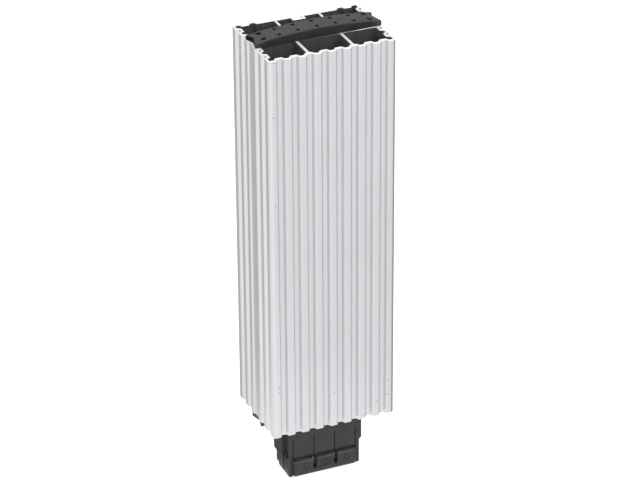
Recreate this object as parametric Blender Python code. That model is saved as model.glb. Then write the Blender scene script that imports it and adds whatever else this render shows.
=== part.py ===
"""Enclosure heater for a 35 mm rail.

An extruded aluminium profile carries warm air up through six chambers. Ceramic heating stones sit
in its middle channel, pressed against the walls by a pair of wedges. An arched cap closes the
channel at the top, and a second cap and a connection housing with three wire clamps hang below.
A spring clip on the back holds the heater on the rail.

Metres, +Z up, the front faces -Y. The origin is on the flat underside of the connection housing,
below the middle of the profile.
"""

import math

import bmesh
import bpy
from mathutils import Vector

# Gap that pieces which touch keep between their solids
SEAT = 0.0003

# Extruded profile
PROFILE_LENGTH = 0.220
PROFILE_WIDTH = 0.070
PROFILE_DEPTH = 0.050
WALL = 0.0014
WAVE_DEPTH = 0.0020
WEB = 0.0013
CHANNEL_DEPTH = 0.0112
CHANNEL_PLATE = 0.0013
CORNER_RADIUS = 0.0020
FIRST_RIDGE = 0.0025
FRONT_PITCHES = 8
SIDE_PITCH_SHARE = 0.1625
SIDE_GROOVE_STEP = 1.13
RIDGE_SHARE = 0.455
FLANK_SHARE = 0.133
MIDDLE_GROOVE_DEPTH = 0.0008
SCREW_GROOVE_WIDTH = 0.0046
SCREW_GROOVE_DEPTH = 0.0034

# Caps over the ends of the middle channel
CAP_INSET = 0.0001
CAP_LAP = 0.0007
CAP_CROWN = 0.0054
CAP_END_HEIGHT = 0.0027
CAP_ROOF = 0.0014
CAP_SIDE = 0.00125
CAP_NOTCH = 0.0016
CAP_EDGE = 0.0008
PLATE_EDGE = 0.0004
CAP_PLATE = 0.0025
SKIRT_DEPTH = 0.004
SKIRT_WALL = 0.0010
SLOT_ROW = 0.0035
SLOT_SIZE = 0.0020
END_SLOT_SIZE = 0.0026
SLOT_SHARES = (0, 0.298, 0.590)
END_SLOT_SHARE = 0.838

# Connection housing
HOUSING_WIDTH = 0.0416
HOUSING_HEIGHT = 0.0290
HOUSING_FRONT = 0.0113
HOUSING_BACK = 0.0072
HOUSING_EDGE = 0.0007
HOUSING_FOOT = 0.0008
HEEL_DEPTH = 0.0030
HEEL_HEIGHT = 0.0013
EAR = 0.00155
REAR_EARS = (0.0080, 0.0024)
FRONT_EARS = (0.0143, 0.0015)
PARTING = -0.0035
NECK_WIDTH = 0.034
NECK_HEIGHT = 0.0039
STRIP = 0.0025
PANEL_HIGH = 0.0235
PANEL_LOW = 0.0106
PANEL_CURL = 0.0030
PANEL_TUCK = 0.0007
PANEL_GROOVE = 0.0006
GROOVE_DEPTH = 0.0010
PAD_HIGH = 0.0097
PAD_PROUD = 0.0015
PAD_FOOT = 0.0029
PAD_LIP = 0.0008
PAD_EDGE = 0.0006
PAD_BED = 0.0023
PAD_GAP = 0.0020
PAD_GAP_LOW = 0.0036
PAD_GAP_DEPTH = 0.0032
LATCH_LIP = 0.0010
LATCH_LOW = 0.0103
LATCH_DEPTH = 0.0034

# Wire clamps
ENTRY = 0.0048
ENTRY_FRONT = 0.0006
CLAMP_WALL = 0.0008
CLAMP_LOW = 0.0105
CLAMP_HEIGHT = 0.0100
CLAMP_FRONT_ROOM = 0.0008
LEAF = 0.0005

# Heating stack in the channel, from the back wall forwards
STACK_SIDE = 0.0048
STACK_END = 0.016
FILM = 0.0004
ELECTRODE = 0.0010
STONE = 0.0021
STONE_BORDER = 0.0020
STONE_HEIGHT = 0.015
STONE_ROWS = 3
WEDGE_THIN_SHARE = 0.33
TAB_WIDTH = 0.0042
TAB_DROP = 0.0035
EARTH_STRIP = 0.0008

# Spring clip for the rail
RAIL_HEIGHT = 0.035
CLIP_WIDTH = 0.020
CLIP_SHEET = 0.0010
CLIP_BEND = 0.0009
CLIP_HOOK_ROOM = 0.0016
CLIP_HOOK = 0.0030
CLIP_SPRING = 0.0050
CLIP_SPREAD = 0.0012
RAIL_PLAY = 0.0004
CLIP_RAMP_OUT = 0.0036
CLIP_RAMP_DOWN = 0.0062
SCREW_SPACING = 0.016
SCREW_SHANK = 0.0040
SCREW_HEAD = 0.0076
SCREW_HEAD_HEIGHT = 0.0022

# Section of the profile, worked out from the sizes above
PITCH = (PROFILE_WIDTH - 2 * FIRST_RIDGE) / FRONT_PITCHES
SIDE_PITCH = PROFILE_DEPTH * SIDE_PITCH_SHARE
SIDE_GROOVES = (SIDE_GROOVE_STEP * SIDE_PITCH, (SIDE_GROOVE_STEP + 1) * SIDE_PITCH)
CHANNEL_HALF_X = PROFILE_WIDTH / 2 - MIDDLE_GROOVE_DEPTH - WALL
CHANNEL_HALF_Y = CHANNEL_DEPTH / 2
PLATE_FACE = CHANNEL_HALF_Y + CHANNEL_PLATE

# Levels
HOUSING_TOP = HOUSING_HEIGHT
CAP_UNDERSIDE = HOUSING_TOP + SEAT + NECK_HEIGHT
PROFILE_LOW = CAP_UNDERSIDE + CAP_PLATE + SEAT
PROFILE_HIGH = PROFILE_LOW + PROFILE_LENGTH
CLAMP_HIGH = CLAMP_LOW + CLAMP_HEIGHT
STACK_LOW = PROFILE_LOW + STACK_END
STACK_HIGH = PROFILE_HIGH - STACK_END

# Places across the depth, from the back wall of the channel forwards
BACK_FILM = (CHANNEL_HALF_Y - SEAT - FILM, CHANNEL_HALF_Y - SEAT)
BACK_ELECTRODE = (BACK_FILM[0] - SEAT - ELECTRODE, BACK_FILM[0] - SEAT)
STONES = (BACK_ELECTRODE[0] - SEAT - STONE, BACK_ELECTRODE[0] - SEAT)
FRONT_ELECTRODE = (STONES[0] - SEAT - ELECTRODE, STONES[0] - SEAT)
FRONT_FILM = (FRONT_ELECTRODE[0] - SEAT - FILM, FRONT_ELECTRODE[0] - SEAT)
WEDGES = (-CHANNEL_HALF_Y + SEAT, FRONT_FILM[0] - SEAT)

STACK_WIDTH = 2 * (CHANNEL_HALF_X - STACK_SIDE)
STONE_WIDTH = STACK_WIDTH / 2 - 2 * STONE_BORDER

PANEL_PITCH = (HOUSING_WIDTH - 2 * STRIP) / 3
PANELS = (-PANEL_PITCH, 0, PANEL_PITCH)
PANELS_EDGE = 1.5 * PANEL_PITCH
CAP_HALF_X = PROFILE_WIDTH / 2 - CAP_INSET
CAP_HALF_Y = CHANNEL_HALF_Y + CAP_LAP
CLIP_FACE = PROFILE_DEPTH / 2 - WAVE_DEPTH + SEAT + CLIP_SHEET
CLIP_HEIGHT = PROFILE_LOW + PROFILE_LENGTH / 2

SMOOTH_ANGLE = math.radians(30)
MARGIN = 0.002


def clear_scene():
    for obj in list(bpy.data.objects):
        bpy.data.objects.remove(obj, do_unlink=True)


def material(name, colour, roughness, metallic=0.0):
    """A Principled BSDF material of one colour."""
    made = bpy.data.materials.new(name)
    made.use_nodes = True
    shader = made.node_tree.nodes["Principled BSDF"]
    shader.inputs["Base Color"].default_value = (*colour, 1)
    shader.inputs["Roughness"].default_value = roughness
    shader.inputs["Metallic"].default_value = metallic
    return made


def place(name, mesh, look=None):
    """An object that shows this mesh, smooth but for its sharp edges."""
    mesh.shade_smooth()
    mesh.set_sharp_from_angle(angle=SMOOTH_ANGLE)
    obj = bpy.data.objects.new(name, mesh)
    bpy.context.scene.collection.objects.link(obj)
    if look:
        mesh.materials.append(look)
    return obj


def mesh_from(name, bm):
    bmesh.ops.recalc_face_normals(bm, faces=bm.faces)
    mesh = bpy.data.meshes.new(name)
    bm.to_mesh(mesh)
    bm.free()
    return mesh


def in_space(plane, point, level):
    """The 3-D place of an outline's point: plane XY, XZ or YZ, level along the third axis."""
    a, b = point
    return {"XY": (a, b, level), "XZ": (a, level, b), "YZ": (level, a, b)}[plane]


def prism(name, loops, low, high, plane="XY", look=None):
    """A solid with this outline, its first loop, and these holes, its other loops."""
    bm = bmesh.new()
    edges = []
    for loop in loops:
        corners = [bm.verts.new(in_space(plane, point, low)) for point in loop]
        for first, second in zip(corners, corners[1:] + corners[:1]):
            edges.append(bm.edges.new((first, second)))
    if len(loops) == 1:
        bm.faces.new(corners)
    else:
        bmesh.ops.triangle_fill(bm, use_beauty=True, use_dissolve=False, edges=edges)
    made = bmesh.ops.extrude_face_region(bm, geom=list(bm.faces))
    raised = [item for item in made["geom"] if isinstance(item, bmesh.types.BMVert)]
    bmesh.ops.translate(bm, verts=raised, vec=Vector(in_space(plane, (0, 0), high - low)))
    return place(name, mesh_from(name, bm), look)


def rectangle(x_low, x_high, y_low, y_high):
    return [(x_low, y_low), (x_high, y_low), (x_high, y_high), (x_low, y_high)]


def boxes(name, bounds, look=None):
    """One mesh of boxes, each given as (x low, x high, y low, y high, z low, z high)."""
    bm = bmesh.new()
    for x_low, x_high, y_low, y_high, z_low, z_high in bounds:
        made = bmesh.ops.create_cube(bm, size=1)
        for vert in made["verts"]:
            vert.co.x = x_high if vert.co.x > 0 else x_low
            vert.co.y = y_high if vert.co.y > 0 else y_low
            vert.co.z = z_high if vert.co.z > 0 else z_low
    return place(name, mesh_from(name, bm), look)


def turned(name, outline, look=None, sides=24):
    """A solid turned about Z from (radius, height) points that start and end on the axis."""
    bm = bmesh.new()
    corners = [bm.verts.new((radius, 0, height)) for radius, height in outline]
    edges = [bm.edges.new(pair) for pair in zip(corners, corners[1:])]
    bmesh.ops.spin(
        bm, geom=corners + edges, axis=(0, 0, 1), cent=(0, 0, 0), angle=math.tau, steps=sides
    )
    bmesh.ops.remove_doubles(bm, verts=bm.verts, dist=1e-6)
    return place(name, mesh_from(name, bm), look)


def bevel(obj, width, segments=2):
    made = obj.modifiers.new("edges", "BEVEL")
    made.width = width
    made.segments = segments
    made.limit_method = "ANGLE"
    made.angle_limit = SMOOTH_ANGLE
    return obj


def combine(obj, other, operation):
    """Keeps the other object as a hidden helper of this one."""
    made = obj.modifiers.new(other.name, "BOOLEAN")
    made.operation = operation
    made.solver = "EXACT"
    made.object = other
    other.hide_render = True
    other.display_type = "WIRE"
    return obj


def cut(obj, *others):
    for other in others:
        combine(obj, other, "DIFFERENCE")
    return obj


def join(obj, *others):
    for other in others:
        combine(obj, other, "UNION")
    return obj


def mirrored(loop):
    """The loop on the other side of the middle plane, still walked the same way round."""
    return [(-x, y) for x, y in reversed(loop)]


def arc(centre, radius, start, turn, steps=3):
    """Points of an arc, with its angles in quarter turns."""
    points = []
    for step in range(steps + 1):
        angle = (start + turn * step / steps) * math.pi / 2
        points.append((centre[0] + radius * math.cos(angle), centre[1] + radius * math.sin(angle)))
    return points


class Wave:
    """Grooves of one pitch along a wall: half widths of a ridge and a groove, outside and inside."""

    def __init__(self, pitch):
        flank = pitch * FLANK_SHARE
        mitre = WALL * math.tan(math.atan2(WAVE_DEPTH, flank) / 2)
        self.pitch = pitch
        self.ridge = pitch * RIDGE_SHARE / 2
        self.mouth = pitch / 2 - self.ridge
        self.floor = self.mouth - flank
        self.inner_mouth = self.mouth + mitre
        self.inner_floor = self.floor + mitre

    def groove(self, centre):
        """One groove from the outside, as (along the wall, depth into it)."""
        return [
            (centre - self.mouth, 0),
            (centre - self.floor, WAVE_DEPTH),
            (centre + self.floor, WAVE_DEPTH),
            (centre + self.mouth, 0),
        ]

    def bump(self, centre):
        """The same groove from the inside of the wall."""
        low, high = WALL, WALL + WAVE_DEPTH
        return [
            (centre - self.inner_mouth, low),
            (centre - self.inner_floor, high),
            (centre + self.inner_floor, high),
            (centre + self.inner_mouth, low),
        ]


FRONT_WAVE = Wave(PITCH)
SIDE_WAVE = Wave(SIDE_PITCH)


def front_grooves():
    centres = [(index + 0.5 - FRONT_PITCHES / 2) * PITCH for index in range(FRONT_PITCHES)]
    return [point for centre in centres for point in FRONT_WAVE.groove(centre)]


def side_grooves():
    """Two grooves each side of a wide shallow one in the middle."""
    inner, outer = SIDE_GROOVES
    half_mouth = inner - SIDE_PITCH / 2 - SIDE_WAVE.ridge
    half_floor = half_mouth - SIDE_PITCH * FLANK_SHARE * MIDDLE_GROOVE_DEPTH / WAVE_DEPTH
    middle = [
        (-half_mouth, 0),
        (-half_floor, MIDDLE_GROOVE_DEPTH),
        (half_floor, MIDDLE_GROOVE_DEPTH),
        (half_mouth, 0),
    ]
    groove = SIDE_WAVE.groove
    return groove(-outer) + groove(-inner) + middle + groove(inner) + groove(outer)


def back_grooves():
    """A groove near each corner, and a wide recess for the clip with a groove for its screws."""
    mouth = 3 * PITCH - FRONT_WAVE.ridge
    floor = mouth - PITCH * FLANK_SHARE
    half = SCREW_GROOVE_WIDTH / 2
    deep = WAVE_DEPTH + SCREW_GROOVE_DEPTH
    recess = [(-mouth, 0), (-floor, WAVE_DEPTH), (-half, WAVE_DEPTH), (-half, deep)]
    recess += [(-along, depth) for along, depth in reversed(recess)]
    outer = 3.5 * PITCH
    return FRONT_WAVE.groove(-outer) + recess + FRONT_WAVE.groove(outer)


def outer_outline():
    """The outside of the section, anticlockwise from the front left corner."""
    half_x = PROFILE_WIDTH / 2
    half_y = PROFILE_DEPTH / 2
    core_x = half_x - CORNER_RADIUS
    core_y = half_y - CORNER_RADIUS
    outline = arc((-core_x, -core_y), CORNER_RADIUS, 2, 1)
    outline += [(along, -half_y + depth) for along, depth in front_grooves()]
    outline += arc((core_x, -core_y), CORNER_RADIUS, 3, 1)
    outline += [(half_x - depth, along) for along, depth in side_grooves()]
    outline += arc((core_x, core_y), CORNER_RADIUS, 0, 1)
    outline += [(-along, half_y - depth) for along, depth in back_grooves()]
    outline += arc((-core_x, core_y), CORNER_RADIUS, 1, 1)
    outline += [(-half_x + depth, -along) for along, depth in side_grooves()]
    return outline


def front_wall_inside(first, last):
    """The front wall from inside, from one web or corner to the next, between two x places."""
    points = []
    for index in range(FRONT_PITCHES):
        centre = (index + 0.5 - FRONT_PITCHES / 2) * PITCH
        points += [(x, -PROFILE_DEPTH / 2 + depth) for x, depth in FRONT_WAVE.bump(centre)]
    return [(x, y) for x, y in points if first < x < last]


def side_wall_inside():
    """The right wall from inside, from the front corner to the channel's plate."""
    inner, outer = SIDE_GROOVES
    points = SIDE_WAVE.bump(-outer) + SIDE_WAVE.bump(-inner)[:2]
    return [(PROFILE_WIDTH / 2 - depth, along) for along, depth in points]


def front_middle_chamber():
    edge = 1.5 * PITCH - WEB / 2
    floor = -PROFILE_DEPTH / 2 + WALL + WAVE_DEPTH
    wall = front_wall_inside(-edge, edge)
    return [(-edge, floor), *wall, (edge, floor), (edge, -PLATE_FACE), (-edge, -PLATE_FACE)]


def front_right_chamber():
    edge = 1.5 * PITCH + WEB / 2
    inside = PROFILE_WIDTH / 2 - WALL
    floor = -PROFILE_DEPTH / 2 + WALL + WAVE_DEPTH
    corner = (inside, -PROFILE_DEPTH / 2 + WALL)
    wall = front_wall_inside(edge, inside)
    side = side_wall_inside()
    end = (inside - WAVE_DEPTH, -PLATE_FACE)
    return [(edge, floor), *wall, corner, *side, end, (edge, -PLATE_FACE)]


def back_middle_chamber():
    edge = 1.5 * PITCH - WEB / 2
    wall = PROFILE_DEPTH / 2 - WALL - WAVE_DEPTH
    boss_half = SCREW_GROOVE_WIDTH / 2 + WALL
    boss = wall - SCREW_GROOVE_DEPTH
    right = [(edge, PLATE_FACE), (edge, wall), (boss_half, wall), (boss_half, boss)]
    return right + [(-x, y) for x, y in reversed(right)]


def back_right_chamber():
    edge = 1.5 * PITCH + WEB / 2
    inside = PROFILE_WIDTH / 2 - WALL
    back = PROFILE_DEPTH / 2
    floor = back - WALL - WAVE_DEPTH
    side = [(x, -y) for x, y in reversed(side_wall_inside())]
    groove = [(x, back - depth) for x, depth in reversed(FRONT_WAVE.bump(3.5 * PITCH))]
    recess = [(x, back - depth) for x, depth in reversed(FRONT_WAVE.bump(2.5 * PITCH)[2:])]
    end = (inside - WAVE_DEPTH, PLATE_FACE)
    corner = (inside, back - WALL)
    return [(edge, PLATE_FACE), end, *side, corner, *groove, *recess, (edge, floor)]


def make_profile(look):
    """One extrusion: a waved wall all round, four webs and the middle channel."""
    channel = rectangle(-CHANNEL_HALF_X, CHANNEL_HALF_X, -CHANNEL_HALF_Y, CHANNEL_HALF_Y)
    loops = [outer_outline(), channel, front_middle_chamber(), back_middle_chamber()]
    for chamber in (front_right_chamber(), back_right_chamber()):
        loops += [chamber, mirrored(chamber)]
    return prism("profile", loops, PROFILE_LOW, PROFILE_HIGH, look=look)


def cap_plan():
    """A cap from above: a bar over the channel with a shallow V in each end."""
    right = [
        (CAP_HALF_X, -CAP_HALF_Y),
        (CAP_HALF_X - CAP_NOTCH, 0),
        (CAP_HALF_X, CAP_HALF_Y),
    ]
    return right + [(-x, y) for x, y in reversed(right)]


def cap_end(y):
    """How far along X the cap's notched end reaches, this far from its middle plane."""
    return CAP_HALF_X - CAP_NOTCH * (1 - abs(y) / CAP_HALF_Y)


def arch_height(x, crown):
    """Height of an arch with this crown, which comes down to the cap's low ends."""
    fall = CAP_CROWN - CAP_END_HEIGHT
    radius = (CAP_HALF_X**2 + fall**2) / (2 * fall)
    return crown - radius + math.sqrt(radius**2 - x**2)


def cap_body(base, crown, look, steps=16):
    """An arched bar along X: round long edges on top, and a shallow V in each end."""
    half = CAP_HALF_Y
    edge = arc((half - CAP_EDGE, -CAP_EDGE), CAP_EDGE, 0, 1, steps=4)
    top = edge + [(0, 0)] + [(-y, drop) for y, drop in reversed(edge)]
    bm = bmesh.new()
    sections = []
    for step in range(steps + 1):
        share = 2 * step / steps - 1
        section = [bm.verts.new((share * cap_end(y), y, base)) for y in (0, half)]
        for y, drop in top:
            x = share * cap_end(y)
            section.append(bm.verts.new((x, y, arch_height(x, crown) + drop)))
        section.append(bm.verts.new((share * cap_end(half), -half, base)))
        sections.append(section)
    for first, second in zip(sections, sections[1:]):
        for k in range(len(first)):
            j = (k + 1) % len(first)
            bm.faces.new((first[k], first[j], second[j], second[k]))
    summit = 2 + len(edge)
    for section in (sections[0], sections[-1]):
        bm.faces.new(section[: summit + 1])
        bm.faces.new([*section[summit:], section[0]])
    return place("top_cap", mesh_from("top_cap", bm), look)


def arched(half_length, crown, base, steps=14):
    """A bar from the front with a flat base and an arched top, whose ends are lower."""
    points = [(-half_length, base), (half_length, base)]
    for step in range(steps + 1):
        x = half_length * (1 - 2 * step / steps)
        points.append((x, arch_height(x, crown)))
    return points


def skirt(name, low, high):
    """The ring of a cap that stands in the channel."""
    half_x = CHANNEL_HALF_X - SEAT
    half_y = CHANNEL_HALF_Y - SEAT
    outer = rectangle(-half_x, half_x, -half_y, half_y)
    inner_x = half_x - SKIRT_WALL
    inner_y = half_y - SKIRT_WALL
    return prism(name, [outer, rectangle(-inner_x, inner_x, -inner_y, inner_y)], low, high)


def cap_slots():
    """Two rows of square holes through the roof, the ones at the ends larger."""
    bounds = []
    places = [(share, SLOT_SIZE) for share in SLOT_SHARES] + [(END_SLOT_SHARE, END_SLOT_SIZE)]
    for share, size in places:
        for x in sorted({share * CAP_HALF_X, -share * CAP_HALF_X}):
            for y in (-SLOT_ROW, SLOT_ROW):
                half = size / 2
                low = PROFILE_HIGH + SEAT + 0.0008
                high = PROFILE_HIGH + CAP_CROWN + MARGIN
                bounds.append((x - half, x + half, y - half, y + half, low, high))
    return boxes("cut_cap_slots", bounds)


def make_top_cap(look):
    base = PROFILE_HIGH + SEAT
    crown = PROFILE_HIGH + CAP_CROWN
    cap = cap_body(base, crown, look)
    hollow_x = CHANNEL_HALF_X - SEAT - SKIRT_WALL + 0.0002
    hollow_y = CAP_HALF_Y - CAP_SIDE
    hollow = prism(
        "cut_cap_hollow",
        [arched(hollow_x, crown - CAP_ROOF, base - MARGIN)],
        -hollow_y,
        hollow_y,
        "XZ",
    )
    cut(cap, hollow, cap_slots())
    return join(cap, skirt("shape_top_skirt", PROFILE_HIGH - SKIRT_DEPTH, base + 0.0006))


def tab_places():
    """Middle of each tab that comes down to a clamp, and its (front, back) across the depth."""
    earth = (ENTRY_FRONT - CLAMP_FRONT_ROOM - CLAMP_WALL + 0.0001, 0)
    earth = (earth[0], earth[0] + EARTH_STRIP)
    return [(PANELS[0], FRONT_ELECTRODE), (PANELS[1], BACK_ELECTRODE), (PANELS[2], earth)]


def tab_slots(name, low, high):
    half = TAB_WIDTH / 2 + SEAT
    bounds = []
    for x, (front, back) in tab_places():
        bounds.append((x - half, x + half, front - SEAT, back + SEAT, low, high))
    return boxes(name, bounds)


def make_bottom_cap(look):
    top = PROFILE_LOW - SEAT
    cap = prism("bottom_cap", [cap_plan()], CAP_UNDERSIDE, top, look=look)
    half_x = NECK_WIDTH / 2
    half_y = CHANNEL_HALF_Y
    neck_low = HOUSING_TOP + SEAT
    neck_bounds = (-half_x, half_x, -half_y, half_y, neck_low, CAP_UNDERSIDE + CAP_PLATE / 2)
    neck = boxes("shape_neck", [neck_bounds])
    ring = skirt("shape_bottom_skirt", top - CAP_PLATE / 2, PROFILE_LOW + SKIRT_DEPTH)
    bevel(cap, PLATE_EDGE)
    join(cap, neck, ring)
    slots = tab_slots("cut_cap_tabs", neck_low - MARGIN, PROFILE_LOW + SKIRT_DEPTH + MARGIN)
    return cut(cap, slots)


def housing_front_view(ears):
    """The housing from the front: straight sides, with an ear that slopes out of each."""
    ear_low, ear_slope = ears
    half = HOUSING_WIDTH / 2
    right = [
        (half, -MARGIN),
        (half, ear_low),
        (half + EAR, ear_low + ear_slope),
        (half + EAR, HOUSING_TOP),
    ]
    return right + [(-x, z) for x, z in reversed(right)]


def housing_half(name, side_view, ears, look):
    """The solid with this side view, and with these ears in its front view."""
    low = -HOUSING_FRONT - MARGIN
    high = HOUSING_BACK + MARGIN
    reach = HOUSING_WIDTH / 2 + EAR + MARGIN
    half = prism(name, [housing_front_view(ears)], low, high, "XZ", look)
    combine(half, prism(f"shape_{name}_side", [side_view], -reach, reach, "YZ"), "INTERSECT")
    return bevel(half, HOUSING_EDGE)


def make_rear_housing(look):
    """The half that carries the clamps, with a step under its back."""
    front = PARTING + SEAT / 2
    heel = HOUSING_BACK - HEEL_DEPTH
    side_view = [
        (front, 0),
        (heel, 0),
        (heel, HEEL_HEIGHT),
        (HOUSING_BACK, HEEL_HEIGHT),
        (HOUSING_BACK, HOUSING_TOP + MARGIN),
        (front, HOUSING_TOP + MARGIN),
    ]
    housing = housing_half("rear_housing", side_view, REAR_EARS, look)
    entry_half = ENTRY / 2
    entry_back = ENTRY_FRONT + ENTRY
    pocket_half = ENTRY / 2 + CLAMP_WALL + SEAT
    pocket_back = entry_back + CLAMP_WALL + SEAT
    pocket_low = CLAMP_LOW - SEAT
    pocket_high = CLAMP_HIGH + 0.0025
    entries = []
    pockets = []
    for x in PANELS:
        entries.append(
            (x - entry_half, x + entry_half, ENTRY_FRONT, entry_back, -MARGIN, CLAMP_LOW)
        )
        pockets.append(
            (x - pocket_half, x + pocket_half, front - MARGIN, pocket_back, pocket_low, pocket_high)
        )
    cut(housing, boxes("cut_wire_entries", entries), boxes("cut_clamp_pockets", pockets))
    return cut(housing, tab_slots("cut_housing_tabs", pocket_high - MARGIN, HOUSING_TOP + MARGIN))


def pad_bed():
    """The air from under the pads up to the feet of the panels, which curl inwards."""
    front = -HOUSING_FRONT
    radius = (PANEL_CURL**2 + PANEL_TUCK**2) / (2 * PANEL_TUCK)
    steps = 4
    curl = []
    for step in range(steps + 1):
        below = PANEL_CURL * (1 - step / steps)
        inwards = radius - math.sqrt(radius**2 - below**2)
        curl.append((front + inwards, PANEL_LOW + PANEL_CURL - below))
    outline = [
        (front - MARGIN, -MARGIN),
        (front + PAD_BED, -MARGIN),
        (front + PAD_BED, PANEL_LOW),
        *curl,
        (front - MARGIN, PANEL_LOW + PANEL_CURL),
    ]
    half = PANELS_EDGE + PANEL_GROOVE / 2
    return prism("cut_pad_bed", [outline], -half, half, "YZ")


def panel_grooves():
    """Thin grooves between the panels, and up both sides of them."""
    front = -HOUSING_FRONT
    half = PANEL_GROOVE / 2
    bounds = []
    for share in (-1.5, -0.5, 0.5, 1.5):
        x = share * PANEL_PITCH
        bounds.append(
            (x - half, x + half, front - MARGIN, front + GROOVE_DEPTH, PAD_HIGH, PANEL_HIGH)
        )
    return boxes("cut_panel_grooves", bounds)


def pad_bar():
    """The three pads in one bar, with a round lip and foot, and a slot from above between them."""
    front = -HOUSING_FRONT - PAD_PROUD
    bed = -HOUSING_FRONT + PAD_BED
    root = bed + PAD_BED / 2
    outline = [(root, PAD_BED / 6), (bed, 0)]
    outline += arc((front + PAD_FOOT, PAD_FOOT), PAD_FOOT, 3, -1, steps=6)
    outline += arc((front + PAD_LIP, PAD_HIGH - PAD_LIP), PAD_LIP, 2, -1, steps=4)
    outline.append((root, PAD_HIGH))
    half = PANELS_EDGE - PANEL_GROOVE / 2
    bar = prism("shape_pads", [outline], -half, half, "YZ")
    slots = []
    for x in (-PANEL_PITCH / 2, PANEL_PITCH / 2):
        low, high = x - PAD_GAP / 2, x + PAD_GAP / 2
        deep = front + PAD_GAP_DEPTH
        slots.append((low, high, front - MARGIN, deep, PAD_GAP_LOW, PAD_HIGH + MARGIN))
    cut(bar, boxes("cut_pad_slots", slots))
    return bevel(bar, PAD_EDGE)


def latch_pockets():
    """A tall pocket with a round foot in each side, open at the top and towards the rear half."""
    radius = (HOUSING_FRONT - LATCH_LIP + PARTING) / 2
    foot = arc((PARTING - radius, LATCH_LOW + radius), radius, 2, 2, steps=10)
    outline = foot + [
        (PARTING, HOUSING_TOP + MARGIN),
        (PARTING - 2 * radius, HOUSING_TOP + MARGIN),
    ]
    inside = HOUSING_WIDTH / 2 + EAR - LATCH_DEPTH
    outside = HOUSING_WIDTH / 2 + EAR + MARGIN
    right = prism("cut_right_latch", [outline], inside, outside, "YZ")
    left = prism("cut_left_latch", [outline], -outside, -inside, "YZ")
    return right, left


def make_front_housing(look):
    """The half with the three panels, over a bar of three pads that stand proud of them."""
    front = -HOUSING_FRONT
    back = PARTING - SEAT / 2
    side_view = [(back, 0)]
    side_view += arc((front + HOUSING_FOOT, HOUSING_FOOT), HOUSING_FOOT, 3, -1, steps=4)
    side_view += [(front, HOUSING_TOP + MARGIN), (back, HOUSING_TOP + MARGIN)]
    housing = housing_half("front_housing", side_view, FRONT_EARS, look)
    cut(housing, pad_bed(), panel_grooves(), *latch_pockets())
    return join(housing, pad_bar())


def make_clamps(steel, spring_steel):
    """Three cages, each open from below for the wire, with a leaf that presses on it."""
    half = ENTRY / 2
    outer = half + CLAMP_WALL
    front = ENTRY_FRONT - CLAMP_FRONT_ROOM
    back = ENTRY_FRONT + ENTRY
    rim = rectangle(-outer, outer, front - CLAMP_WALL, back + CLAMP_WALL)
    hole = rectangle(-half, half, front, back)
    leaf_low = CLAMP_LOW + SEAT
    leaf = rectangle(-half + SEAT, half - SEAT, front + SEAT, front + SEAT + LEAF)
    for index, x in enumerate(PANELS):
        cage = prism(f"clamp_cage_{index + 1}", [rim, hole], CLAMP_LOW, CLAMP_HIGH, look=steel)
        spring = prism(
            f"clamp_spring_{index + 1}", [leaf], leaf_low, CLAMP_HIGH - TAB_DROP - SEAT,
            look=spring_steel,
        )
        cage.location.x = x
        spring.location.x = x


def electrode(name, depth, tab_x, tab_low, look):
    """A contact sheet behind or in front of the stones, with a tab down to its clamp."""
    half = STACK_WIDTH / 2
    tab = TAB_WIDTH / 2
    outline = [
        (-half, STACK_LOW),
        (tab_x - tab, STACK_LOW),
        (tab_x - tab, tab_low),
        (tab_x + tab, tab_low),
        (tab_x + tab, STACK_LOW),
        (half, STACK_LOW),
        (half, STACK_HIGH),
        (-half, STACK_HIGH),
    ]
    return prism(name, [outline], *depth, "XZ", look)


def stone_places():
    """Middle of each stone: two columns and a few rows, spread over the stack."""
    room = STACK_HIGH - STACK_LOW
    rows = [STACK_LOW + room * (row + 0.5) / STONE_ROWS for row in range(STONE_ROWS)]
    columns = (-STACK_WIDTH / 4, STACK_WIDTH / 4)
    return [(x, z) for z in rows for x in columns]


def around(x, z, half_x, half_z):
    return rectangle(x - half_x, x + half_x, z - half_z, z + half_z)


def make_stack(aluminium, ceramic, film, frame_plastic):
    half = STACK_WIDTH / 2
    sheet = rectangle(-half, half, STACK_LOW, STACK_HIGH)
    prism("back_film", [sheet], *BACK_FILM, "XZ", film)
    prism("front_film", [sheet], *FRONT_FILM, "XZ", film)
    electrode("back_electrode", BACK_ELECTRODE, PANELS[1], CLAMP_HIGH - TAB_DROP, aluminium)
    electrode("front_electrode", FRONT_ELECTRODE, PANELS[0], CLAMP_HIGH - TAB_DROP, aluminium)
    half_x = STONE_WIDTH / 2
    half_z = STONE_HEIGHT / 2
    windows = []
    for index, (x, z) in enumerate(stone_places()):
        windows.append(around(x, z, half_x + SEAT, half_z + SEAT))
        stone = [around(x, z, half_x, half_z)]
        prism(f"heating_stone_{index + 1}", stone, *STONES, "XZ", ceramic)
    prism("stone_frame", [sheet, *windows], *STONES, "XZ", frame_plastic)
    front, back = WEDGES
    thin = (back - front - SEAT) * WEDGE_THIN_SHARE
    front_wedge = [
        (front, STACK_LOW),
        (back - SEAT - thin, STACK_LOW),
        (front + thin, STACK_HIGH),
        (front, STACK_HIGH),
    ]
    back_wedge = [
        (back - thin, STACK_LOW),
        (back, STACK_LOW),
        (back, STACK_HIGH),
        (front + thin + SEAT, STACK_HIGH),
    ]
    prism("front_wedge", [front_wedge], -half, half, "YZ", aluminium)
    prism("back_wedge", [back_wedge], -half, half, "YZ", aluminium)


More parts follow.
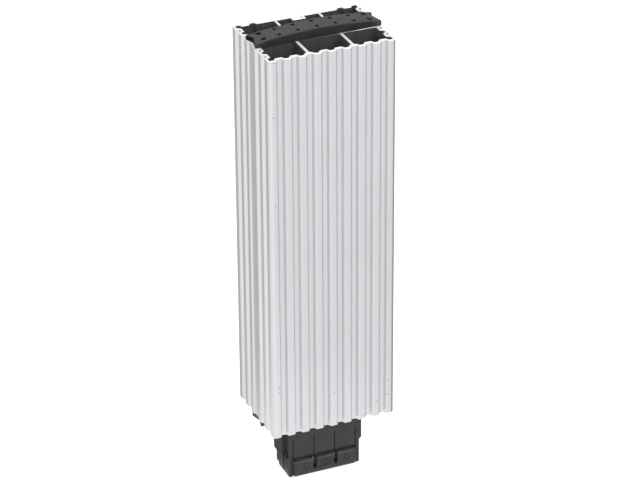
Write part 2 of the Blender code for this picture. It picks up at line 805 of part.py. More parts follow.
def rounded_path(points, radius, steps=4):
    """The path with an arc in place of each corner."""
    points = [Vector(point) for point in points]
    path = [points[0]]
    for before, corner, after in zip(points, points[1:], points[2:]):
        back = (before - corner).normalized()
        ahead = (after - corner).normalized()
        half = back.angle(ahead) / 2
        centre = corner + (back + ahead).normalized() * radius / math.sin(half)
        start = corner + back * radius / math.tan(half) - centre
        end = corner + ahead * radius / math.tan(half) - centre
        for step in range(steps + 1):
            path.append(centre + start.slerp(end, step / steps) * radius)
    path.append(points[-1])
    return path


def strip_outline(path, thickness):
    """The outline of a bent strip whose middle runs along this path."""
    left = []
    right = []
    for index, point in enumerate(path):
        before = path[max(index - 1, 0)]
        after = path[min(index + 1, len(path) - 1)]
        arriving = (point - before if index else after - point).normalized()
        leaving = (after - point if after != point else arriving).normalized()
        along = (arriving + leaving).normalized()
        across = Vector((-along.y, along.x)) * thickness / 2 / along.dot(arriving)
        left.append(tuple(point + across))
        right.append(tuple(point - across))
    return left + right[::-1]


def make_earth_strip(look):
    """A strip from the third clamp up to the channel's front wall, which earths the profile."""
    x, (front, back) = tab_places()[2]
    middle = (front + back) / 2
    wall = -CHANNEL_HALF_Y + SEAT + EARTH_STRIP / 2
    bend = PROFILE_LOW + SKIRT_DEPTH + SEAT + EARTH_STRIP / 2
    points = [
        (middle, CLAMP_HIGH + SEAT),
        (middle, bend),
        (wall, bend),
        (wall, STACK_LOW - 0.002),
    ]
    path = rounded_path(points, EARTH_STRIP * 0.6)
    half = TAB_WIDTH / 2
    outline = strip_outline(path, EARTH_STRIP)
    return prism("earth_strip", [outline], x - half, x + half, "YZ", look)


def screw_heights():
    return (CLIP_HEIGHT + SCREW_SPACING / 2, CLIP_HEIGHT - SCREW_SPACING / 2)


def make_clip(look):
    """One bent strip: a hook over the rail's top edge, and a springy nose under its foot."""
    middle = CLIP_FACE - CLIP_SHEET / 2
    hook = CLIP_FACE + CLIP_HOOK_ROOM + CLIP_SHEET / 2
    top = RAIL_HEIGHT / 2 + RAIL_PLAY + CLIP_SHEET / 2
    foot = -top - CLIP_SPRING
    tip = RAIL_HEIGHT / 2 - CLIP_HOOK
    points = [
        (hook, tip),
        (hook, top),
        (middle, top),
        (middle, foot),
        (hook + CLIP_SPREAD, foot),
        (hook, -tip),
        (hook + CLIP_RAMP_OUT, -tip - CLIP_RAMP_DOWN),
    ]
    points = [(y, CLIP_HEIGHT + z) for y, z in points]
    outline = strip_outline(rounded_path(points, CLIP_BEND), CLIP_SHEET)
    clip = prism("rail_clip", [outline], -CLIP_WIDTH / 2, CLIP_WIDTH / 2, "YZ", look)
    for index, height in enumerate(screw_heights()):
        radius = SCREW_SHANK / 2 + SEAT
        outline = [(0, -MARGIN), (radius, -MARGIN), (radius, CLIP_SHEET + MARGIN)]
        hole = turned(f"cut_clip_hole_{index + 1}", [*outline, (0, CLIP_SHEET + MARGIN)])
        hole.location = (0, CLIP_FACE - CLIP_SHEET, height)
        hole.rotation_euler.x = -math.pi / 2
        cut(clip, hole)
    return clip


def make_screws(look):
    """Pan-head screws through the clip into the groove down the profile's back."""
    shank = SCREW_SHANK / 2
    head = SCREW_HEAD / 2
    depth = CLIP_SHEET + 2 * SEAT + SCREW_GROOVE_DEPTH - SEAT
    crown = [(head, SEAT)]
    for point in arc((head * 0.55, SCREW_HEAD_HEIGHT * 0.4), SCREW_HEAD_HEIGHT * 0.6, 0, 1, steps=4):
        crown.append((point[0] + head * 0.45 - SCREW_HEAD_HEIGHT * 0.6, point[1] + SEAT))
    outline = [(0, -depth), (shank * 0.6, -depth), (shank, -depth + shank * 0.4), (shank, SEAT)]
    outline += crown + [(0, SCREW_HEAD_HEIGHT + SEAT)]
    arm = head * 0.45
    thin = head * 0.12
    low = SEAT + SCREW_HEAD_HEIGHT * 0.45
    high = SCREW_HEAD_HEIGHT + MARGIN
    for index, height in enumerate(screw_heights()):
        screw = turned(f"clip_screw_{index + 1}", outline, look)
        cross = boxes(f"cut_cross_a_{index + 1}", [(-arm, arm, -thin, thin, low, high)])
        bar = boxes(f"cut_cross_b_{index + 1}", [(-thin, thin, -arm, arm, low, high)])
        for obj in (screw, cross, bar):
            obj.location = (0, CLIP_FACE, height)
            obj.rotation_euler.x = -math.pi / 2
        cut(screw, cross, bar)


def main():
    clear_scene()
    aluminium = material("aluminium", (0.78, 0.77, 0.80), 0.45, 1.0)
    black = material("black_plastic", (0.020, 0.021, 0.023), 0.50)
    grey_black = material("housing_plastic", (0.045, 0.048, 0.052), 0.48)
    steel = material("steel", (0.62, 0.62, 0.60), 0.35, 1.0)
    spring_steel = material("spring_steel", (0.50, 0.50, 0.49), 0.32, 1.0)
    ceramic = material("ceramic", (0.30, 0.29, 0.28), 0.60)
    film = material("film", (0.42, 0.20, 0.04), 0.35)
    frame_plastic = material("frame_plastic", (0.60, 0.57, 0.50), 0.55)
    make_profile(aluminium)
    make_top_cap(black)
    make_bottom_cap(black)
    make_rear_housing(grey_black)
    make_front_housing(grey_black)
    make_clamps(steel, spring_steel)
    make_stack(aluminium, ceramic, film, frame_plastic)
    make_earth_strip(steel)
    make_clip(spring_steel)
    make_screws(steel)
    heater = bpy.data.objects.new("enclosure_heater", None)
    bpy.context.scene.collection.objects.link(heater)
    for obj in list(bpy.context.scene.objects):
        if obj is not heater:
            obj.parent = heater


main()
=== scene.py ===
"""Looks of the enclosure heater: finishes, fine forms, light and camera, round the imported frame.

Metres, +Z up, the front faces -Y. The origin is under the middle of the connection housing.
"""

import math

import bmesh
import bpy
from mathutils import Matrix, Vector


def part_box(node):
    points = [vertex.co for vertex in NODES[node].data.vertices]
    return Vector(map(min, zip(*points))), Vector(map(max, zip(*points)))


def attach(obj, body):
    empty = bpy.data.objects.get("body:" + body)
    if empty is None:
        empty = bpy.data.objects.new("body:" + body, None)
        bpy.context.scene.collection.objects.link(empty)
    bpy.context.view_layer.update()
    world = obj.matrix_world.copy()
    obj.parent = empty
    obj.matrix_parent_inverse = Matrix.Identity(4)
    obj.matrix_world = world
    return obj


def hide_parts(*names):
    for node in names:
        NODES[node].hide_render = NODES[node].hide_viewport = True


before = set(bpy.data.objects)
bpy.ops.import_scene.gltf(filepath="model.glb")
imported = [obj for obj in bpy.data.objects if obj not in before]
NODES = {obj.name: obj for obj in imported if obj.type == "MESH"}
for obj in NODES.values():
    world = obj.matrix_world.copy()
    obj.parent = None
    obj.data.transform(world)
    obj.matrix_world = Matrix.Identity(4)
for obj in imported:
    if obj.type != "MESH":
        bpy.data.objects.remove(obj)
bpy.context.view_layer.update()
MM = 0.001

# Profile, from its CAD node
PROFILE_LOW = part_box("profile")[0].z
PROFILE_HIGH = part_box("profile")[1].z
PROFILE_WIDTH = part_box("profile")[1].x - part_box("profile")[0].x
PROFILE_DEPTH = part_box("profile")[1].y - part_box("profile")[0].y
WALL = 1.4 * MM
WAVE_DEPTH = 2.0 * MM
WEB = 1.3 * MM
FIRST_RIDGE = 2.5 * MM
FRONT_PITCHES = 8
CHANNEL_HALF_Y = 5.6 * MM
CHANNEL_PLATE = 1.3 * MM
MIDDLE_GROOVE_DEPTH = 0.8 * MM
SCREW_GROOVE_WIDTH = 4.6 * MM
SCREW_GROOVE_DEPTH = 3.4 * MM
CORNER_RADIUS = 2.0 * MM
RIDGE_SHARE = 0.455
FLANK_SHARE = 0.133
SIDE_PITCH_SHARE = 0.1625
SIDE_GROOVE_STEP = 1.13
CONVEX_FILLET = 0.55 * MM
CONCAVE_FILLET = 0.40 * MM
CUT_CHAMFER = 0.31 * MM

# Small blind holes in the top rim: their radius and depth, and their places (x, y in mm)
RIM_DOT = 0.35 * MM
RIM_DOT_DEPTH = 0.6 * MM
RIM_DOTS = ((-33.3, 17.5), (-33.3, -9.6), (-33.6, -17.6), (34.2, 17.9), (34.1, -16.2))

# What follows from these: pitches, grooves and inner faces
PITCH = (PROFILE_WIDTH - 2 * FIRST_RIDGE) / FRONT_PITCHES
SIDE_PITCH = PROFILE_DEPTH * SIDE_PITCH_SHARE
SIDE_GROOVES = (SIDE_GROOVE_STEP * SIDE_PITCH, (SIDE_GROOVE_STEP + 1) * SIDE_PITCH)
CHANNEL_HALF_X = PROFILE_WIDTH / 2 - MIDDLE_GROOVE_DEPTH - WALL
PLATE_FACE = CHANNEL_HALF_Y + CHANNEL_PLATE
INSIDE_Y = PROFILE_DEPTH / 2 - WALL

# Rim under the cap and front webs, as thin and as thick as the photograph shows them
FRONT_PLATE = 0.82 * MM
FRONT_PLATE_FACE = CHANNEL_HALF_Y + FRONT_PLATE
WEB_EXTRA = 0.32 * MM

# Colours of the top cap's plastic; the last two are painted shade, for its front face and for its end
# faces
CAP_DARK = (0.0240, 0.0228, 0.0275)
CAP_LIGHT = (0.0380, 0.0360, 0.0430)
CAP_MOTTLE = (0.0720, 0.0670, 0.0820)
CAP_FRONT_PAINTED_SHADE = (0.0500, 0.0490, 0.0530)
CAP_END_PAINTED_SHADE = (0.0075, 0.0075, 0.0080)

# Top cap, which sits a little askew, with its pits as (share of its half length, size)
CAP_BASE = PROFILE_HIGH + 0.02 * MM
CAP_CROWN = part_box("top_cap")[1].z - 0.3 * MM
CAP_HALF_X = 34.86 * MM
CAP_HALF_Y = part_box("top_cap")[1].y
CAP_FALL = 2.45 * MM
CAP_TILT = 0.003
CAP_NOTCH = 2.0 * MM
CAP_APEX = 0.7 * MM
CAP_EDGE = 0.8 * MM
CAP_TURN = 0.0160
CAP_SHIFT = -0.45 * MM
CAP_STEPS = 24
PIT_ROW = 3.5 * MM
PIT_DEPTH = 1.9 * MM
PIT_SIZE = 2.0 * MM
END_PIT_SIZE = 2.6 * MM
PIT_SHARES = (-0.602, -0.304, 0, 0.304, 0.602)
END_PIT_SHARE = 0.857

# Connection housing: its sides, the joint between its halves, and its pads with their foot
HOUSING_SIDE = 20.8 * MM
HOUSING_JOINT = -3.5 * MM
JOINT_REACH = 0.3 * MM
SHELL_LEFT = -20.82 * MM
SHELL_RIGHT = 21.9 * MM
PAD_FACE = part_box("front_housing")[0].y
PADS_END = 18.25 * MM
PAD_FOOT = 2.9 * MM
FOOT_FULLNESS = 0.68

# Floors in the grooves beside the pads
FLOOR_X = 18.3 * MM
FLOOR_Y = -9.6 * MM
FLOOR_Z = 5.0 * MM
FLOOR_SPAN = (1.2 * MM, 1.6 * MM, 9.4 * MM)
FLOOR_ROUND = 0.1 * MM

# Faces of the housing's front half with painted light, a painted highlight on the pads' lips and lighter
# tones in their recesses and pockets: their places in mm
PAINT_HALF_X = 18.8
RECESS_DEEP = 1.7
RECESS_BACK = -8.8
RECESS_LOW = 3
RECESS_HIGH = 10.7
LIP_DEEP = 0.8
LIP_LOW = 8.5
LIP_HIGH = 9.8
POCKET_END_X = 19.1
POCKET_FRONT = -10.4
POCKET_LOW = 10.2

# Near-black strips where the housing's halves meet: painted shadow for the narrow gap between them
SEAM_HALF = 0.70 * MM
SEAM_PROUD = 0.05 * MM
SEAM_LOW = 0.9 * MM
SEAM_HIGH = 10.6 * MM

# Marks on the pads, in a plastic darker than the pads as painted shade for engraved strokes: rings (x,
# z, radius in mm) and a frame with a bar
MARK_STROKE = 0.55 * MM
MARK_PROUD = 0.05 * MM
MARK_RINGS = ((-11.3, 6.4, 1.7), (12.4, 6.1, 1.45))
RING_STEPS = 24
MARK_FRAME_X = 0.5 * MM
MARK_FRAME_Z = 6.1 * MM
MARK_FRAME_HALF_X = 2.3 * MM
MARK_FRAME_HALF_Z = 1.9 * MM
MARK_FRAME_CORNER = 0.5 * MM
MARK_BAR_ROOM = 0.1 * MM

# Small dents and specks on the front of the profile (x, z, radius in mm)
SPECKS = (
    (-32.2, 255.0, 0.5),
    (-32.7, 225.0, 0.45),
    (-31.9, 224.7, 0.45),
    (-31.9, 223.2, 0.35),
    (-31.9, 174.6, 0.4),
    (-31.5, 67.4, 0.65),
    (-31.3, 64.0, 0.5),
    (0.4, 56.6, 0.5),
    (24.6, 45.7, 0.6),
    (31.4, 48.3, 0.6),
    (31.8, 57.4, 0.6),
    (31.7, 71.5, 0.35),
    (31.7, 73.0, 0.35),
    (31.6, 76.1, 0.35),
    (31.6, 77.7, 0.35),
    (31.7, 156.2, 0.4),
    (31.8, 154.9, 0.4),
)

# Camera, fitted to the edges of the profile in the photograph
IMAGE_WIDTH = 640
FOCAL_PIXELS = 2865.67
AZIMUTH = math.radians(-22.981)
ELEVATION = math.radians(28.081)
ROLL = math.radians(-0.338)
AIM_RIGHT = 2.14 * MM
AIM_UP = 88.71 * MM
CAMERA_DISTANCE = 1556.05 * MM
SENSOR_MM = 36

# Light: the room's strength at the horizon and overhead, and lamps (name, place, size, power)
SKY_LOW = 0.45
SKY_HIGH = 1.0
FLOOR_GLOW = 0.85
FLOOR_SIZE = 6
FLOOR_GAP = 0.2 * MM
LIT_POINT = (0, 0, 0.14)
LIGHTS = (
    ("key", (0.53, -0.73, 1.40), 0.5, 4),
    ("top", (0.0, 0.2, 1.6), 0.9, 3),
)

# Cards on the floor for the sides of the room: name, bearings from the front, reach, strength
CARDS = (
    ("card_close_left", -72, -178, 24 * MM, 50 * MM, 0.32),
    ("card_behind_left", -134, -182, 55 * MM, 900 * MM, 0.50),
    ("card_left", -60, -134, 55 * MM, 900 * MM, 1.00),
    ("card_front_left", -8, -60, 55 * MM, 900 * MM, 1.12),
    ("card_front_near", 52, -8, 55 * MM, 130 * MM, 1.06),
    ("card_front", 52, -8, 130 * MM, 900 * MM, 0.95),
    ("card_right", 52, 178, 55 * MM, 900 * MM, 0.32),
)
CARD_LIFT = 1 * MM
CARD_STEPS = 12

# Places of the looks in the lists of the pieces that have more than one
# INSIDE holds the painted shade of the chambers and the rim dots
OUTSIDE, INSIDE, SAWN = 0, 1, 2
# LIP holds a painted highlight; RECESS, POCKET and BED hold painted light
SHELL, LIP, RECESS, POCKET, BED = 0, 1, 2, 3, 4


def new_material(name):
    """A material with its Principled shader and a helper that adds nodes to it."""
    made = bpy.data.materials.new(name)
    made.use_nodes = True
    tree = made.node_tree
    shader = tree.nodes["Principled BSDF"]

    def add(kind, inputs=None, **settings):
        node = tree.nodes.new(kind)
        for key, value in settings.items():
            setattr(node, key, value)
        for key, value in (inputs or {}).items():
            if isinstance(value, bpy.types.NodeSocket):
                tree.links.new(value, node.inputs[key])
            else:
                node.inputs[key].default_value = value
        return node

    return made, shader, add, tree.links.new


def noise(add, scale, detail=2.0, stretch=(1, 1, 1), roughness=0.5):
    """Noise in the row's own frame, drawn out along an axis where its stretch is small."""
    place = add("ShaderNodeTexCoord")
    mapped = add("ShaderNodeMapping", {"Vector": place.outputs["Object"], "Scale": stretch})
    return add(
        "ShaderNodeTexNoise",
        {
            "Vector": mapped.outputs[0],
            "Scale": scale,
            "Detail": detail,
            "Roughness": roughness,
        },
    ).outputs["Fac"]


def ramp(add, value, low, high, out_low=0.0, out_high=1.0):
    return add(
        "ShaderNodeMapRange",
        {
            "Value": value,
            "From Min": low,
            "From Max": high,
            "To Min": out_low,
            "To Max": out_high,
        },
    ).outputs["Result"]


def set_bump(add, shader, height, strength, distance):
    """A relief of the surface, from a height that the looks' patterns give."""
    bump = add("ShaderNodeBump", {"Height": height, "Strength": strength, "Distance": distance})
    shader.id_data.links.new(bump.outputs[0], shader.inputs["Normal"])


def mix_colours(add, factor, first, second):
    """Colours given as three numbers or as sockets."""
    node = add("ShaderNodeMix", data_type="RGBA")
    for slot, value in ((0, factor), (6, first), (7, second)):
        if isinstance(value, bpy.types.NodeSocket):
            node.id_data.links.new(value, node.inputs[slot])
        elif isinstance(value, tuple):
            node.inputs[slot].default_value = (*value, 1)
        else:
            node.inputs[slot].default_value = value
    return node.outputs[2]


def specks(add):
    """Where the small dents and specks are, from their places on the front."""
    place = add("ShaderNodeTexCoord").outputs["Object"]
    found = 0.0
    for x, z, radius in SPECKS:
        spot = (x * MM, -PROFILE_DEPTH / 2, z * MM)
        gap = add("ShaderNodeVectorMath", {0: place, 1: spot}, operation="DISTANCE")
        near = ramp(add, gap.outputs["Value"], radius * MM * 0.5, radius * MM, 0.8, 0)
        found = add("ShaderNodeMath", {0: near, 1: found}, operation="MAXIMUM").outputs[0]
    return found


def aluminium_outside():
    made, shader, add, link = new_material("anodised_outside")
    streaks = noise(add, 900, 3, (1, 1, 0.012))
    grain = noise(add, 2600, 2)
    coarse = noise(add, 1100, 2)
    cloud = noise(add, 30, 2)
    tone = mix_colours(add, ramp(add, grain, 0.30, 0.70), (0.670, 0.660, 0.680), (0.775, 0.764, 0.788))
    tone = mix_colours(add, ramp(add, streaks, 0.35, 0.65, 0, 0.35), tone, (0.655, 0.645, 0.665))
    tone = mix_colours(add, ramp(add, cloud, 0.35, 0.65, 0, 0.15), tone, (0.80, 0.79, 0.815))
    tone = mix_colours(add, specks(add), tone, (0.30, 0.29, 0.30))
    link(tone, shader.inputs["Base Color"])
    link(ramp(add, coarse, 0.3, 0.7, 0.28, 0.36), shader.inputs["Roughness"])
    shader.inputs["Metallic"].default_value = 1.0
    shader.inputs["Anisotropic"].default_value = 0.2
    height = add("ShaderNodeMath", {0: streaks, 1: grain}, operation="ADD")
    set_bump(add, shader, height.outputs[0], 0.25, 0.04 * MM)
    return made


def aluminium_inside_painted_shade():
    # painted shade: the same anodised metal as outside, made far darker for the shade deep in the
    # chambers and in the rim dots
    made, shader, add, link = new_material("anodised_inside_painted_shade")
    streaks = noise(add, 700, 3, (1, 1, 0.012))
    grain = noise(add, 1800, 2)
    tone = mix_colours(add, ramp(add, streaks, 0.35, 0.65), (0.166, 0.168, 0.182), (0.204, 0.207, 0.224))
    link(tone, shader.inputs["Base Color"])
    link(ramp(add, grain, 0.3, 0.7, 0.50, 0.70), shader.inputs["Roughness"])
    shader.inputs["Metallic"].default_value = 0.6
    set_bump(add, shader, streaks, 0.3, 0.05 * MM)
    return made


def aluminium_cut():
    made, shader, add, link = new_material("sawn_end")
    marks = noise(add, 1500, 3, (0.05, 1, 1))
    tone = mix_colours(add, ramp(add, marks, 0.35, 0.65), (0.92, 0.92, 0.92), (0.98, 0.98, 0.98))
    link(tone, shader.inputs["Base Color"])
    link(ramp(add, marks, 0.3, 0.7, 0.30, 0.42), shader.inputs["Roughness"])
    shader.inputs["Metallic"].default_value = 0.2
    set_bump(add, shader, marks, 0.25, 0.05 * MM)
    return made


def moulded_plastic(name, dark, light, roughness, grain_scale, shine=0.5):
    """Moulded black plastic with a fine spark-eroded grain and soft clouding."""
    made, shader, add, link = new_material(name)
    shader.inputs["Specular IOR Level"].default_value = shine
    grain = noise(add, grain_scale, 3)
    cloud = noise(add, 120, 3)
    flecks = noise(add, 1400, 1)
    tone = mix_colours(add, ramp(add, cloud, 0.3, 0.7), dark, light)
    pale = tuple(min(1, channel * 2.2) for channel in light)
    tone = mix_colours(add, ramp(add, flecks, 0.66, 0.80, 0, 0.5), tone, pale)
    link(tone, shader.inputs["Base Color"])
    link(ramp(add, grain, 0.3, 0.7, roughness - 0.08, roughness + 0.08), shader.inputs["Roughness"])
    set_bump(add, shader, grain, 0.35, 0.06 * MM)
    return made


def cap_plastic_painted_shade():
    """The cap's plastic: mottled on top, with painted shade down its front face that fades towards its
    ends, and darker painted shade, with less shine, on its end faces.
    """
    made, shader, add, link = new_material("cap_painted_shade")
    grain = noise(add, 2600, 3)
    tone = mix_colours(add, ramp(add, noise(add, 120, 3), 0.3, 0.7), CAP_DARK, CAP_LIGHT)
    mottle = ramp(add, noise(add, 720, 2), 0.44, 0.62, 0, 0.62)
    tone = mix_colours(add, mottle, tone, CAP_MOTTLE)
    normal = add("ShaderNodeNewGeometry").outputs["Normal"]
    normal = add("ShaderNodeSeparateXYZ", {"Vector": normal})
    place = add("ShaderNodeTexCoord").outputs["Object"]
    along = add("ShaderNodeSeparateXYZ", {"Vector": place}).outputs["X"]
    along = add("ShaderNodeMath", {0: along}, operation="ABSOLUTE").outputs[0]
    # painted shade: faces turned to the front darken, most in the middle of the cap and less towards its
    # ends
    front = ramp(add, normal.outputs["Y"], -0.25, -0.95)
    middle = ramp(add, along, 29 * MM, 33 * MM, 1.0, 0.15)
    shade = add("ShaderNodeMath", {0: front, 1: middle}, operation="MULTIPLY").outputs[0]
    # painted shade: the end faces get a darker colour still
    end = add("ShaderNodeMath", {0: normal.outputs["X"]}, operation="ABSOLUTE").outputs[0]
    end = ramp(add, end, 0.7, 0.85)
    tone = mix_colours(add, shade, tone, CAP_FRONT_PAINTED_SHADE)
    link(mix_colours(add, end, tone, CAP_END_PAINTED_SHADE), shader.inputs["Base Color"])
    painted_shade_dull = add("ShaderNodeMath", {0: shade, 1: end}, operation="MAXIMUM").outputs[0]
    link(ramp(add, painted_shade_dull, 0, 1, 0.5, 0.05), shader.inputs["Specular IOR Level"])
    link(ramp(add, grain, 0.3, 0.7, 0.42, 0.58), shader.inputs["Roughness"])
    set_bump(add, shader, grain, 0.35, 0.06 * MM)
    return made


def metal(name, dark, light, roughness, stretch):
    made, shader, add, link = new_material(name)
    marks = noise(add, 1200, 3, stretch)
    cloud = noise(add, 200, 2)
    tone = mix_colours(add, ramp(add, marks, 0.35, 0.65), dark, light)
    link(tone, shader.inputs["Base Color"])
    link(ramp(add, cloud, 0.3, 0.7, roughness - 0.06, roughness + 0.06), shader.inputs["Roughness"])
    shader.inputs["Metallic"].default_value = 1.0
    set_bump(add, shader, marks, 0.2, 0.04 * MM)
    return made


def plain(name, dark, light, roughness, scale):
    made, shader, add, link = new_material(name)
    cloud = noise(add, scale, 3)
    link(mix_colours(add, ramp(add, cloud, 0.3, 0.7), dark, light), shader.inputs["Base Color"])
    link(ramp(add, cloud, 0.3, 0.7, roughness - 0.05, roughness + 0.05), shader.inputs["Roughness"])
    set_bump(add, shader, cloud, 0.2, 0.05 * MM)
    return made


def weigh_normals(obj):
    """Smooth shading between sharp edges, with flat faces kept flat."""
    obj.data.set_sharp_from_angle(angle=math.radians(30))
    weighted = obj.modifiers.new("weighted", "WEIGHTED_NORMAL")
    weighted.keep_sharp = True


def dress(name, look):
    """Gives a CAD node its finish and smooth shading between sharp edges."""
    node = NODES[name]
    node.data.materials.clear()
    node.data.materials.append(look)
    node.data.shade_smooth()
    weigh_normals(node)


def paint_shell(shell):
    """Painted light on the front half: a painted highlight on the pads' lips, and lighter copies of the
    plastic as painted light in the grooves and slots round them and in the latch pockets.
    """
    pads = PAD_FACE / MM
    for face in shell.data.polygons:
        x, y, z = face.center / MM
        x = abs(x)
        turned = face.normal
        sideways = abs(turned.x) > 0.9
        forward = turned.y < -0.95
        walls = sideways or forward or abs(turned.z) > 0.95
        # painted light: faces sunk round the pads and the latch pockets get lighter copies of the
        # plastic
        sunk = pads + RECESS_DEEP < y < RECESS_BACK and RECESS_LOW < z < RECESS_HIGH
        # painted highlight on the tops of the pads' lips
        lip_highlit = y < pads + LIP_DEEP and LIP_LOW < z < LIP_HIGH and turned.z > 0.5
        if x < PAINT_HALF_X and sunk and walls:
            face.material_index = BED if forward else RECESS
        elif x < PAINT_HALF_X and lip_highlit:
            face.material_index = LIP
        elif sideways and PAINT_HALF_X < x < POCKET_END_X and y > POCKET_FRONT and z > POCKET_LOW:
            face.material_index = POCKET


def square_foot(bm):
    """Pushes the round foot of the pads outwards, towards the corner of the bar's section."""
    deep = PAD_FACE + PAD_FOOT
    for vert in bm.verts:
        across = (deep - vert.co.y) / PAD_FOOT
        down = (PAD_FOOT - vert.co.z) / PAD_FOOT
        on_foot = across > 0.01 and down > 0.01
        if abs(vert.co.x) < PADS_END and on_foot:
            vert.co.y = deep - PAD_FOOT * across**FOOT_FULLNESS
            vert.co.z = PAD_FOOT - PAD_FOOT * down**FOOT_FULLNESS


def groove_floors(bm):
    """A floor in each groove beside the pads, so that the groove ends above the foot."""
    made = []
    for side in (-1, 1):
        place = Matrix.Translation((side * FLOOR_X, FLOOR_Y, FLOOR_Z))
        size = Matrix.Diagonal((*FLOOR_SPAN, 1))
        made += bmesh.ops.create_cube(bm, size=1, matrix=place @ size)["verts"]
    edges = list(dict.fromkeys(edge for vert in made for edge in vert.link_edges))
    bmesh.ops.bevel(
        bm,
        geom=edges,
        offset=FLOOR_ROUND,
        segments=2,
        profile=0.5,
        affect="EDGES",
        clamp_overlap=True,
    )


def make_shell(looks):
    """The housing's front half, without its left ear: the photograph shows a plain edge there."""
    node = NODES["front_housing"]
    bm = bmesh.new()
    bm.from_mesh(node.data)
    bm.transform(node.matrix_world)
    bmesh.ops.remove_doubles(bm, verts=bm.verts, dist=1e-6)
    for side, way in ((SHELL_LEFT, -1), (SHELL_RIGHT, 1)):
        cut = bmesh.ops.bisect_plane(
            bm,
            geom=[*bm.verts, *bm.edges, *bm.faces],
            dist=1e-7,
            plane_co=(side, 0, 0),
            plane_no=(way, 0, 0),
            clear_outer=True,
        )
        rim = [part for part in cut["geom_cut"] if isinstance(part, bmesh.types.BMEdge)]
        bmesh.ops.holes_fill(bm, edges=rim, sides=0)
    square_foot(bm)
    groove_floors(bm)
    bmesh.ops.recalc_face_normals(bm, faces=bm.faces)
    for face in bm.faces:
        face.smooth = True
        face.material_index = SHELL
    shell = link_mesh("front_shell", bm, looks)
    paint_shell(shell)
    weigh_normals(shell)
    return shell


def arc(centre, radius, start, turn, steps=4):
    """Points of an arc, with its angles in quarter turns."""
    points = []
    for step in range(steps + 1):
        angle = (start + turn * step / steps) * math.pi / 2
        points.append((centre[0] + radius * math.cos(angle), centre[1] + radius * math.sin(angle)))
    return points


def filleted(loop, convex, concave, steps=3):
    """A loop, walked anticlockwise, with an arc in place of each sharp corner."""
    points = [Vector(point) for point in loop]
    made = []
    for index, corner in enumerate(points):
        before = points[index - 1]
        after = points[(index + 1) % len(points)]
        back = before - corner
        ahead = after - corner
        turn = math.pi - back.angle(ahead)
        if turn < math.radians(25):
            made.append(tuple(corner))
            continue
        left_turn = back.x * ahead.y - back.y * ahead.x < 0
        radius = convex if left_turn else concave
        reach = radius * math.tan(turn / 2)
        reach = min(reach, back.length * 0.45, ahead.length * 0.45)
        radius = reach / math.tan(turn / 2)
        back.normalize()
        ahead.normalize()
        centre = corner + (back + ahead).normalized() * radius / math.cos(turn / 2)
        start = (corner + back * reach - centre).normalized()
        end = (corner + ahead * reach - centre).normalized()
        for step in range(steps + 1):
            made.append(tuple(centre + start.slerp(end, step / steps) * radius))
    return made


class Wave:
    """Grooves of one pitch along a wall: half widths of a ridge and a groove, outside and inside."""

    def __init__(self, pitch):
        flank = pitch * FLANK_SHARE
        mitre = WALL * math.tan(math.atan2(WAVE_DEPTH, flank) / 2)
        self.ridge = pitch * RIDGE_SHARE / 2
        self.mouth = pitch / 2 - self.ridge
        self.floor = self.mouth - flank
        self.inner_mouth = self.mouth + mitre
        self.inner_floor = self.floor + mitre

    def groove(self, centre):
        return [
            (centre - self.mouth, 0),
            (centre - self.floor, WAVE_DEPTH),
            (centre + self.floor, WAVE_DEPTH),
            (centre + self.mouth, 0),
        ]

    def bump(self, centre):
        low, high = WALL, WALL + WAVE_DEPTH
        return [
            (centre - self.inner_mouth, low),
            (centre - self.inner_floor, high),
            (centre + self.inner_floor, high),
            (centre + self.inner_mouth, low),
        ]


FRONT_WAVE = Wave(PITCH)
SIDE_WAVE = Wave(SIDE_PITCH)
FRONT_CENTRES = [(index + 0.5 - FRONT_PITCHES / 2) * PITCH for index in range(FRONT_PITCHES)]


def side_grooves():
    inner, outer = SIDE_GROOVES
    half_mouth = inner - SIDE_PITCH / 2 - SIDE_WAVE.ridge
    half_floor = half_mouth - SIDE_PITCH * FLANK_SHARE * MIDDLE_GROOVE_DEPTH / WAVE_DEPTH
    middle = [
        (-half_mouth, 0),
        (-half_floor, MIDDLE_GROOVE_DEPTH),
        (half_floor, MIDDLE_GROOVE_DEPTH),
        (half_mouth, 0),
    ]
    groove = SIDE_WAVE.groove
    return groove(-outer) + groove(-inner) + middle + groove(inner) + groove(outer)


def back_grooves():
    mouth = 3 * PITCH - FRONT_WAVE.ridge
    floor = mouth - PITCH * FLANK_SHARE
    half = SCREW_GROOVE_WIDTH / 2
    deep = WAVE_DEPTH + SCREW_GROOVE_DEPTH
    recess = [(-mouth, 0), (-floor, WAVE_DEPTH), (-half, WAVE_DEPTH), (-half, deep)]
    recess += [(-along, depth) for along, depth in reversed(recess)]
    outer = 3.5 * PITCH
    return FRONT_WAVE.groove(-outer) + recess + FRONT_WAVE.groove(outer)


def outer_outline():
    half_x = PROFILE_WIDTH / 2
    half_y = PROFILE_DEPTH / 2
    core_x = half_x - CORNER_RADIUS
    core_y = half_y - CORNER_RADIUS
    front = [point for centre in FRONT_CENTRES for point in FRONT_WAVE.groove(centre)]
    outline = arc((-core_x, -core_y), CORNER_RADIUS, 2, 1)
    outline += [(along, -half_y + depth) for along, depth in front]
    outline += arc((core_x, -core_y), CORNER_RADIUS, 3, 1)
    outline += [(half_x - depth, along) for along, depth in side_grooves()]
    outline += arc((core_x, core_y), CORNER_RADIUS, 0, 1)
    outline += [(-along, half_y - depth) for along, depth in back_grooves()]
    outline += arc((-core_x, core_y), CORNER_RADIUS, 1, 1)
    outline += [(-half_x + depth, -along) for along, depth in side_grooves()]
    return filleted(outline, CONVEX_FILLET, CONCAVE_FILLET)


